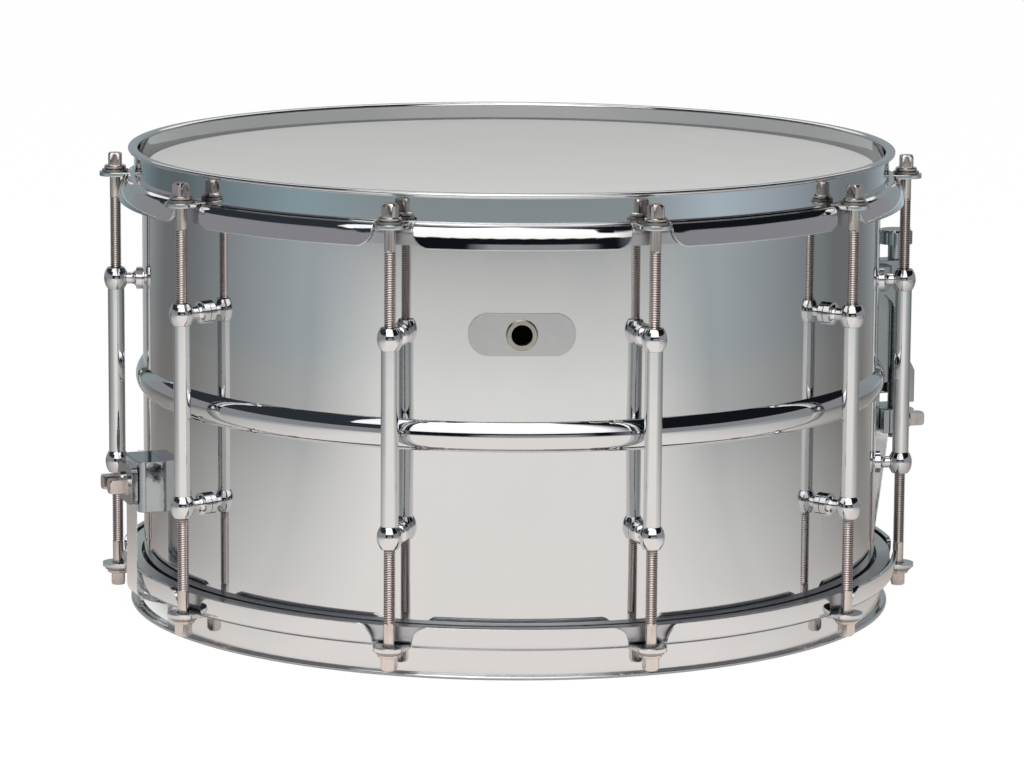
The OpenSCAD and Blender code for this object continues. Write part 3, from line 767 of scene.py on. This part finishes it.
@dataclass
class SnareWires:
    """Twenty coiled wires under the snare head, their wire drawn a little thick so that it shows."""

    angle: float = 108.0
    strands: int = 20
    spacing: float = 3.0
    axis_z: float = -102.73
    half_length: float = 144.0
    coil_r: float = 0.74
    wire_r: float = 0.26
    pitch: float = 2.2
    stagger: float = 2.4
    turn_steps: int = 8
    wire_sides: int = 4

    def coil(self, offset: float, start: float) -> list[Ring]:
        """Gives one wire's rings.

        Args:
            offset: The wire's place across the set.
            start: The angle at which its coil begins.

        Returns:
            The rings along the wire.
        """
        count = round(2 * self.half_length / self.pitch * self.turn_steps)
        slope = math.atan2(self.pitch, 2 * math.pi * self.coil_r)
        rings = []
        for step in range(count + 1):
            a = start + 2 * math.pi * step / self.turn_steps
            x = -self.half_length + self.pitch * step / self.turn_steps
            out = Vector((0, math.cos(a), math.sin(a)))
            round_axis = Vector((0, -math.sin(a), math.cos(a)))
            along = Vector((1, 0, 0)) * math.cos(slope) - round_axis * math.sin(slope)
            centre = Vector((x, offset, self.axis_z)) + out * self.coil_r
            ring = []
            for side in range(self.wire_sides):
                b = 2 * math.pi * side / self.wire_sides
                ring.append(tuple(centre + (out * math.cos(b) + along * math.sin(b)) * self.wire_r))
            rings.append(ring)
        return rings

    def build(self) -> None:
        """Makes the wires as one piece."""
        maker = MeshMaker()
        for i in range(self.strands):
            offset = (i - (self.strands - 1) / 2) * self.spacing
            maker.loft(self.coil(offset, i * self.stagger))
        wires = piece("snare_wires", maker.mesh("snare_wires"), "snare_wire")
        wires.matrix_world = facing(self.angle)
        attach(wires, "snares")
        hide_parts("snare_strands")


@dataclass
class Strap:
    """A clear strap from a clamp, down outside the hoop and in to the snares, bent in smooth curves."""

    node: str
    angle: float
    path: list[Stop]
    width: float = 18.0
    thickness: float = 0.4
    bend_r: float = 4.0
    leg_share: float = 2.2
    bend_steps: int = 8

    def rounded(self) -> list[Vector]:
        """Rounds the path's corners.

        Returns:
            Points along the strap, in radius and height.
        """
        corners = [Vector(stop[:2]) for stop in self.path]
        points = [corners[0]]
        for before, corner, after in zip(corners, corners[1:], corners[2:]):
            back, on = (before - corner).normalized(), (after - corner).normalized()
            legs = ((before - corner).length, (after - corner).length)
            reach = min(self.bend_r, min(legs) / self.leg_share)
            for i in range(self.bend_steps + 1):
                t = i / self.bend_steps
                points.append(corner + back * reach * (1 - t) ** 2 + on * reach * t**2)
        points.append(corners[-1])
        return points

    def section(self, line: list[Vector], i: int) -> Ring:
        """Gives the strap's cross-section at a point.

        Args:
            line: The strap's rounded line.
            i: The point's place in it.

        Returns:
            The four corners of the section.
        """
        half = self.width / 2
        along = (line[min(i + 1, len(line) - 1)] - line[max(i - 1, 0)]).normalized()
        side = Vector((-along.y, along.x)) * self.thickness / 2
        a, b = line[i] + side, line[i] - side
        return [(a.x, -half, a.y), (a.x, half, a.y), (b.x, half, b.y), (b.x, -half, b.y)]

    def nearest(self, line: list[Vector], stop: Stop) -> int:
        """Gives the place in the rounded line that is nearest to a stop of the path."""
        return min(range(len(line)), key=lambda i: (line[i] - Vector(stop[:2])).length)

    def spot(self, stop: Stop) -> Vector:
        """Gives a stop of the path in the drum's frame, in metres."""
        return facing(self.angle) @ (Vector((stop[0], 0, stop[1])) * MM)

    def build(self) -> None:
        """Makes a run between each two stops that are held; one held by a single body is attached to it,
        and one between two bodies is left unattached.
        """
        line = self.rounded()
        held = [stop for stop in self.path if stop[2]]
        for number, (start, end) in enumerate(zip(held, held[1:]), 1):
            first, last = self.nearest(line, start), self.nearest(line, end)
            maker = MeshMaker()
            maker.loft([self.section(line, i) for i in range(first, last + 1)])
            name = f"{self.node}_run_{number}"
            mesh = maker.mesh(name)
            mesh.transform(facing(self.angle))
            run = piece(name, mesh, "strap_film")
            if start[2] == end[2]:
                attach(run, start[2])
            else:
                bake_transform(run)
            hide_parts(self.node)


@dataclass
class CadParts:
    """The CAD's own solids, each in the finish that its record names."""

    def dress(self) -> None:
        """Gives every solid that still shows its finish."""
        for part in frame["record"]["subparts"]:
            solid = frame["nodes"][part["node"]]
            solid.data.materials.clear()
            solid.data.materials.append(FINISHES[part["material_slot"]].material())
            log.info("%s in %s", part["node"], FINISHES[part["material_slot"]].name)


@dataclass(frozen=True)
class Lamp:
    """A square soft lamp: its place and side in metres, its watts, and whether the chrome shows it."""

    name: str
    place: Point
    size: float
    power: float
    mirrored: bool


@dataclass
class Studio:
    """A white sweep, soft lamps, and grey and black cards that the chrome mirrors.

    Angles are in degrees, turns counted from the camera's side; lengths are in metres.
    """

    turn: float = -1.674
    roll: float = 0.381
    elevation: float = 9.822
    distance: float = 2.2319
    aim: Point = (0.000855, 0.0, 0.10574)
    lens: float = 162.22
    sensor: float = 36.0
    lamps: tuple[Lamp, ...] = (
        Lamp("key_softbox", (-0.7, -1.0, 1.9), 1.3, 7.5, True),
        Lamp("head_softbox", (0.15, -0.85, 1.0), 0.6, 6.8, False),
    )
    floor_half: float = 9.0
    floor_tint: str = "#EDEDEC"
    floor_white: float = 0.93
    under_in: float = 0.150
    under_out: float = 0.184
    white_level: float = 1.05
    ambient: float = 0.29
    front_half: float = 33.5
    front_end: float = 58.0
    corner_from: float = 29.0
    corner_to: float = 38.0
    strip_turn: float = 6.5
    strip_from: float = 12.0
    strip_to: float = 19.0
    side_end: float = 140.0
    card_in: float = 0.18
    card_out: float = 2.6
    card_z: float = 0.0003
    dome_r: float = 2.7
    mesh_step: float = 4.0
    gap_top: float = 18.5
    strip_top: float = 10.5
    haze_top: float = 20.0
    box_top: float = 30.0
    ceiling_top: float = 80.0
    back_low: float = 25.0
    back_high: float = 60.0
    fade_from: float = 62.0
    fade_to: float = 112.0
    back_from: float = 128.0
    back_to: float = 165.0
    near_stops: tuple[Shade, ...] = ((0.180, "#2E3032"), (0.184, "#2E3032"))
    front_stops: tuple[Shade, ...] = (
        (0.19, "#FFF7F2"),
        (0.75, "#FDF8F3"),
        (0.90, "#F8F5F1"),
        (1.07, "#EAE8E4"),
        (1.28, "#DCDBD7"),
        (1.46, "#CAC9C6"),
        (1.55, "#B9BAB8"),
        (1.62, "#99A2A3"),
        (2.60, "#8A9496"),
    )
    side_stops: tuple[Shade, ...] = (
        (0.19, "#EFE8E3"),
        (0.30, "#E3DEDB"),
        (0.42, "#DEDCD9"),
        (0.58, "#D3D2CE"),
        (0.73, "#BEBDBC"),
        (0.90, "#BBBBBA"),
        (1.02, "#B1B7B9"),
        (1.50, "#B0B7BA"),
    )
    far_from: float = 1.62
    right_far: str = "#BFCBD4"
    left_far: str = "#99ACB3"
    right_dark: str = "#171A1E"
    left_dark: str = "#34393F"
    gap_tint: str = "#15181B"
    strip_tint: str = "#A6A6A7"
    haze_tint: str = "#9D9BA0"
    back_tint: str = "#9AA3A6"
    box_tint: str = "#FFFDFA"
    ceiling_tint: str = "#F6F1F4"
    aside_tint: str = "#AFACAA"
    box_level: float = 1.5
    ceiling_level: float = 1.9
    dome_top: float = 89.0
    back_level: float = 1.2
    front_level: float = 1.07

    def camera(self) -> None:
        """Sets the camera where the photograph was taken from."""
        rise, roll = math.radians(self.elevation), math.radians(self.roll)
        ahead = Vector((0, math.cos(rise), -math.sin(rise)))
        right, up = Vector((1, 0, 0)), Vector((0, math.sin(rise), math.cos(rise)))
        across = right * math.cos(roll) + up * math.sin(roll)
        upright = up * math.cos(roll) - right * math.sin(roll)
        axes = Matrix((across, upright, -ahead)).transposed().to_4x4()
        place = Matrix.Translation(Vector(self.aim) - ahead * self.distance) @ axes
        data = bpy.data.cameras.new("camera")
        data.sensor_fit = "HORIZONTAL"
        data.sensor_width = self.sensor
        data.lens = self.lens
        made = bpy.data.objects.new("camera", data)
        bpy.context.scene.collection.objects.link(made)
        made.matrix_world = Matrix.Rotation(math.radians(self.turn), 4, "Z") @ place
        bpy.context.scene.camera = made

    def seen(self, tree: bpy.types.NodeTree) -> bpy.types.NodeSocket:
        """Tells rays from the camera, a mirror or glass from those that carry light.

        Args:
            tree: The nodes to add to.

        Returns:
            A socket that is 1 where the ray shows the stage and 0 where it lights the object.
        """
        path = add(tree, "ShaderNodeLightPath")
        mirror = add(
            tree,
            "ShaderNodeMath",
            links={0: path.outputs["Is Camera Ray"], 1: path.outputs["Is Glossy Ray"]},
            operation="MAXIMUM",
        )
        either = add(
            tree,
            "ShaderNodeMath",
            links={0: mirror.outputs["Value"], 1: path.outputs["Is Transmission Ray"]},
            operation="MAXIMUM",
        )
        return either.outputs["Value"]

    def world(self) -> None:
        """Makes the white surroundings."""
        made = bpy.data.worlds.new("white_studio")
        made.use_nodes = True
        tree = made.node_tree
        tree.nodes.clear()
        level = add(
            tree,
            "ShaderNodeMapRange",
            {"To Min": self.ambient, "To Max": 1.0},
            {"Value": self.seen(tree)},
        )
        light = add(tree, "ShaderNodeBackground", links={"Strength": level.outputs["Result"]})
        light.inputs["Color"].default_value = WHITE
        add(tree, "ShaderNodeOutputWorld", links={"Surface": light.outputs["Background"]})
        bpy.context.scene.world = made

    def stage_piece(self, name: str, points: list[Point], faces: list[tuple[int, ...]]) -> bpy.types.Object:
        """Adds a piece of the stage.

        Args:
            name: The piece's name.
            points: Its corners, in metres.
            faces: Its faces.

        Returns:
            The piece, turned to face the camera as the studio does.
        """
        mesh = bpy.data.meshes.new(name)
        mesh.from_pydata(points, [], faces)
        made = bpy.data.objects.new(name, mesh)
        bpy.context.scene.collection.objects.link(made)
        made.rotation_euler.z = math.radians(self.turn)
        return made

    def floor(self) -> None:
        """Makes the pale floor: white to the eye, with the drum's soft shadow on it."""
        far = self.floor_half
        corners = [(-far, -far, 0.0), (far, -far, 0.0), (far, far, 0.0), (-far, far, 0.0)]
        made = self.stage_piece("floor", corners, [(0, 1, 2, 3)])
        paint = bpy.data.materials.new("white_floor")
        paint.use_nodes = True
        tree = paint.node_tree
        tree.nodes.clear()
        coords = add(tree, "ShaderNodeTexCoord").outputs["Object"]
        reach = add(tree, "ShaderNodeVectorMath", links={0: coords}, operation="LENGTH")
        open_floor = add(
            tree,
            "ShaderNodeMapRange",
            {"From Min": self.under_in, "From Max": self.under_out, "To Max": self.floor_white},
            {"Value": reach.outputs["Value"]},
        )
        share = add(
            tree,
            "ShaderNodeMath",
            links={0: self.seen(tree), 1: open_floor.outputs["Result"]},
            operation="MULTIPLY",
        )
        matt = add(tree, "ShaderNodeBsdfDiffuse", {"Color": linear(self.floor_tint)})
        white = add(tree, "ShaderNodeEmission", {"Strength": self.white_level})
        white.inputs["Color"].default_value = WHITE
        mixed = add(
            tree,
            "ShaderNodeMixShader",
            links={0: share.outputs["Value"], 1: matt.outputs["BSDF"], 2: white.outputs["Emission"]},
        )
        add(tree, "ShaderNodeOutputMaterial", links={"Surface": mixed.outputs["Shader"]})
        made.data.materials.append(paint)

    def card(self, made: bpy.types.Object, level: float) -> bpy.types.Node:
        """Makes a piece of the stage glow, and only in mirrors.

        Args:
            made: The piece.
            level: The brightness of white.

        Returns:
            The glow, whose colour is still to be set.
        """
        paint = bpy.data.materials.new(f"{made.name}_paint")
        paint.use_nodes = True
        tree = paint.node_tree
        tree.nodes.clear()
        glow = add(tree, "ShaderNodeEmission", {"Strength": level})
        add(tree, "ShaderNodeOutputMaterial", links={"Surface": glow.outputs["Emission"]})
        made.data.materials.append(paint)
        made.visible_camera = False
        made.visible_diffuse = False
        made.visible_shadow = False
        made.visible_transmission = False
        made.visible_volume_scatter = False
        return glow

    def plain(self, made: bpy.types.Object, tint: str, level: float = 1.0) -> None:
        """Makes a piece of the stage glow in one colour."""
        self.card(made, level).inputs["Color"].default_value = linear(tint)

    def by_reach(self, tree: bpy.types.NodeTree, stops: tuple[Shade, ...]) -> bpy.types.NodeSocket:
        """Gives a colour that changes with the distance from the drum's axis.

        Args:
            tree: The nodes to add to.
            stops: The colour at each distance, in metres.

        Returns:
            The colour's socket.
        """
        coords = add(tree, "ShaderNodeTexCoord").outputs["Object"]
        reach = add(tree, "ShaderNodeVectorMath", links={0: coords}, operation="LENGTH")
        share = add(
            tree,
            "ShaderNodeMapRange",
            {"From Max": self.dome_r},
            {"Value": reach.outputs["Value"]},
        )
        ramp = add(tree, "ShaderNodeValToRGB", links={"Fac": share.outputs["Result"]})
        marks = ramp.color_ramp.elements
        for mark, (radius, tint) in zip(marks, (stops[0], stops[-1])):
            mark.position = radius / self.dome_r
            mark.color = linear(tint)
        for radius, tint in stops[1:-1]:
            marks.new(radius / self.dome_r).color = linear(tint)
        return ramp.outputs["Color"]

    def by_turn(
        self, tree: bpy.types.NodeTree, start: float, stop: float, middle: float = 0.0
    ) -> bpy.types.NodeSocket:
        """Gives a share that rises with the angle from the camera's side, on either hand.

        Args:
            tree: The nodes to add to.
            start: The angle at which it leaves 0, in degrees.
            stop: The angle at which it reaches 1.
            middle: The angle that both are counted from.

        Returns:
            The share's socket.
        """
        coords = add(tree, "ShaderNodeTexCoord").outputs["Object"]
        across = add(tree, "ShaderNodeSeparateXYZ", links={0: coords}).outputs
        ahead = add(tree, "ShaderNodeMath", {1: -1.0}, {0: across["Y"]}, operation="MULTIPLY")
        turn = add(
            tree,
            "ShaderNodeMath",
            links={0: across["X"], 1: ahead.outputs["Value"]},
            operation="ARCTAN2",
        )
        off = add(
            tree,
            "ShaderNodeMath",
            {1: math.radians(middle)},
            {0: turn.outputs["Value"]},
            operation="SUBTRACT",
        )
        aside = add(tree, "ShaderNodeMath", links={0: off.outputs["Value"]}, operation="ABSOLUTE")
        share = add(
            tree,
            "ShaderNodeMapRange",
            {"From Min": math.radians(start), "From Max": math.radians(stop)},
            {"Value": aside.outputs["Value"]},
        )
        return share.outputs["Result"]

    def grid(
        self, name: str, turns: tuple[float, float], rows: list[tuple[float, float]]
    ) -> bpy.types.Object:
        """Adds a piece of the stage that runs round the drum.

        Args:
            name: The piece's name.
            turns: Its first and last angle in degrees, from the camera's side towards +X.
            rows: The distance from the drum's axis and the height of each of its rows, in metres.

        Returns:
            The piece.
        """
        start, stop = turns
        count = max(2, round(abs(stop - start) / self.mesh_step))
        points, faces = [], []
        for i in range(count + 1):
            a = math.radians(start + (stop - start) * i / count)
            points += [(r * math.sin(a), -r * math.cos(a), z) for r, z in rows]
        size = len(rows)
        for i in range(count):
            for j in range(size - 1):
                low = i * size + j
                faces.append((low, low + 1, low + size + 1, low + size))
        return self.stage_piece(name, points, faces)

    def dome(self, name: str, turns: tuple[float, float], low: float, high: float) -> bpy.types.Object:
        """Adds a part of a dome over the drum.

        Args:
            name: The piece's name.
            turns: Its first and last angle in degrees, from the camera's side towards +X.
            low: Its lower edge's elevation in degrees.
            high: Its upper edge's elevation.

        Returns:
            The piece.
        """
        count = max(2, round((high - low) / self.mesh_step))
        rises = [math.radians(low + (high - low) * i / count) for i in range(count + 1)]
        rows = [(self.dome_r * math.cos(e), self.dome_r * math.sin(e)) for e in rises]
        return self.grid(name, turns, rows)

    def sweep(self, name: str, hand: int, far: str) -> None:
        """Makes half of the grey sweep round the drum, dark where the drum shades it.

        Args:
            name: The half's name.
            hand: 1 for the right, -1 for the left.
            far: Its colour far from the drum.
        """
        flat = [(self.card_in, self.card_z), (self.card_out, self.card_z)]
        glow = self.card(self.grid(name, (0.0, hand * 180.0), flat), self.front_level)
        tree = glow.id_data
        side_stops = self.near_stops + self.side_stops + ((self.far_from, far), (self.card_out, far))
        mixed = add(
            tree,
            "ShaderNodeMixRGB",
            links={
                "Fac": self.by_turn(tree, self.front_half, self.front_end),
                "Color1": self.by_reach(tree, self.near_stops + self.front_stops),
                "Color2": self.by_reach(tree, side_stops),
            },
        )
        aside = add(
            tree,
            "ShaderNodeMath",
            links={
                0: self.by_turn(tree, self.fade_from, self.fade_to),
                1: self.by_turn(tree, self.back_from, self.back_to),
            },
            operation="SUBTRACT",
        )
        shaded = add(
            tree,
            "ShaderNodeMixRGB",
            {"Color2": linear(self.aside_tint)},
            {"Fac": aside.outputs["Value"], "Color1": mixed.outputs["Color"]},
            blend_type="MULTIPLY",
        )
        tree.links.new(shaded.outputs["Color"], glow.inputs["Color"])

    def lit(self, tint: str, level: float = 1.0) -> tuple[float, ...]:
        """Gives a card's colour in linear light, at a level."""
        return tuple(c * level for c in linear(tint))

    def band(
        self,
        name: str,
        hand: int,
        rises: tuple[float, float],
        ahead: tuple[float, ...],
        beside: tuple[float, ...],
    ) -> bpy.types.Node:
        """Makes one hand's band of the dome, of one colour ahead of the drum and another beside it.

        Args:
            name: The band's name.
            hand: 1 for the right, -1 for the left.
            rises: Its lower and upper edge's elevation in degrees.
            ahead: Its colour on the camera's side.
            beside: Its colour from the corner on.

        Returns:
            The node that mixes the two.
        """
        glow = self.card(self.dome(name, (0.0, hand * self.side_end), *rises), 1.0)
        tree = glow.id_data
        mixed = add(
            tree,
            "ShaderNodeMixRGB",
            {"Color1": ahead, "Color2": beside},
            {"Fac": self.by_turn(tree, self.corner_from, self.corner_to)},
        )
        tree.links.new(mixed.outputs["Color"], glow.inputs["Color"])
        return mixed

    def dome_cards(self) -> None:
        """Makes what the hoops' and the bead's curves mirror: dark gaps, hazy sides and a softbox ahead."""
        gap, box = self.lit(self.gap_tint), self.lit(self.box_tint, self.box_level)
        ceiling, haze = self.lit(self.ceiling_tint, self.ceiling_level), self.lit(self.haze_tint)
        for name, hand, tint in (("right", 1, self.right_dark), ("left", -1, self.left_dark)):
            dark = self.lit(tint)
            low = self.band(f"{name}_strip", hand, (0.0, self.strip_top), gap, haze)
            tree = low.id_data
            strip = add(
                tree,
                "ShaderNodeMixRGB",
                {"Color1": self.lit(self.strip_tint), "Color2": gap},
                {"Fac": self.by_turn(tree, self.strip_from, self.strip_to, self.strip_turn)},
            )
            tree.links.new(strip.outputs["Color"], low.inputs["Color1"])
            self.band(f"{name}_gap", hand, (self.strip_top, self.gap_top), gap, haze)
            self.band(f"{name}_box_edge", hand, (self.gap_top, self.haze_top), box, haze)
            self.band(f"{name}_box", hand, (self.haze_top, self.box_top), box, dark)
            self.band(f"{name}_ceiling", hand, (self.box_top, self.ceiling_top), ceiling, dark)
            self.band(f"{name}_top_box", hand, (self.ceiling_top, self.dome_top), box, dark)
        back = (self.side_end, 360 - self.side_end)
        self.plain(self.dome("back_wall", back, 0.0, self.back_low), self.back_tint)
        middle = self.dome("back_softbox", back, self.back_low, self.back_high)
        self.plain(middle, self.box_tint, self.back_level)
        high = self.dome("back_ceiling", back, self.back_high, self.dome_top)
        self.plain(high, self.ceiling_tint, self.ceiling_level)

    def hang(self, lamp: Lamp) -> None:
        """Hangs a lamp so that it looks at the drum.

        Args:
            lamp: The lamp.
        """
        data = bpy.data.lights.new(lamp.name, "AREA")
        data.shape = "SQUARE"
        data.size = lamp.size
        data.energy = lamp.power
        made = bpy.data.objects.new(lamp.name, data)
        bpy.context.scene.collection.objects.link(made)
        made.location = lamp.place
        made.visible_glossy = lamp.mirrored
        made.rotation_mode = "QUATERNION"
        made.rotation_quaternion = (Vector(self.aim) - Vector(lamp.place)).to_track_quat("-Z", "Y")

    def build(self) -> None:
        """Sets the whole studio up."""
        self.camera()
        self.world()
        self.floor()
        self.sweep("right_sweep", 1, self.right_far)
        self.sweep("left_sweep", -1, self.left_far)
        self.dome_cards()
        for lamp in self.lamps:
            self.hang(lamp)
        bpy.context.scene.view_settings.view_transform = "Standard"


# The straps' ways from their clamps, and the way in to the snares that both end with
STRAINER_PATH: list[Stop] = [
    (196.4, -31.0, "strap_clamp"),
    (196.4, -42.5, "strap_clamp"),
    (192.8, -70.0, "carriage"),
]
BUTT_PATH: list[Stop] = [(189.2, -33.0, "drum"), (189.2, -57.0, "")]
STRAP_TAIL: list[Stop] = [
    (189.22, -97.5, "drum"),
    (174.4, -102.2, ""),
    (158.0, -103.56, "snares"),
    (147.0, -103.56, "snares"),
]


def main() -> None:
    """Builds the drum's pieces and the studio in order."""
    logging.basicConfig(level=logging.INFO, format="%(name)s: %(message)s")
    CadParts().dress()
    builders: list[Callable[[], None]] = [
        TensionRods().build,
        ThrowOff().build,
        SnareWires().build,
        Strap("strainer_strap", 108.0, STRAINER_PATH + STRAP_TAIL).build,
        Strap("butt_strap", -72.0, BUTT_PATH + STRAP_TAIL).build,
        Studio().build,
    ]
    for build in builders:
        build()


if __name__ == "__main__":
    main()
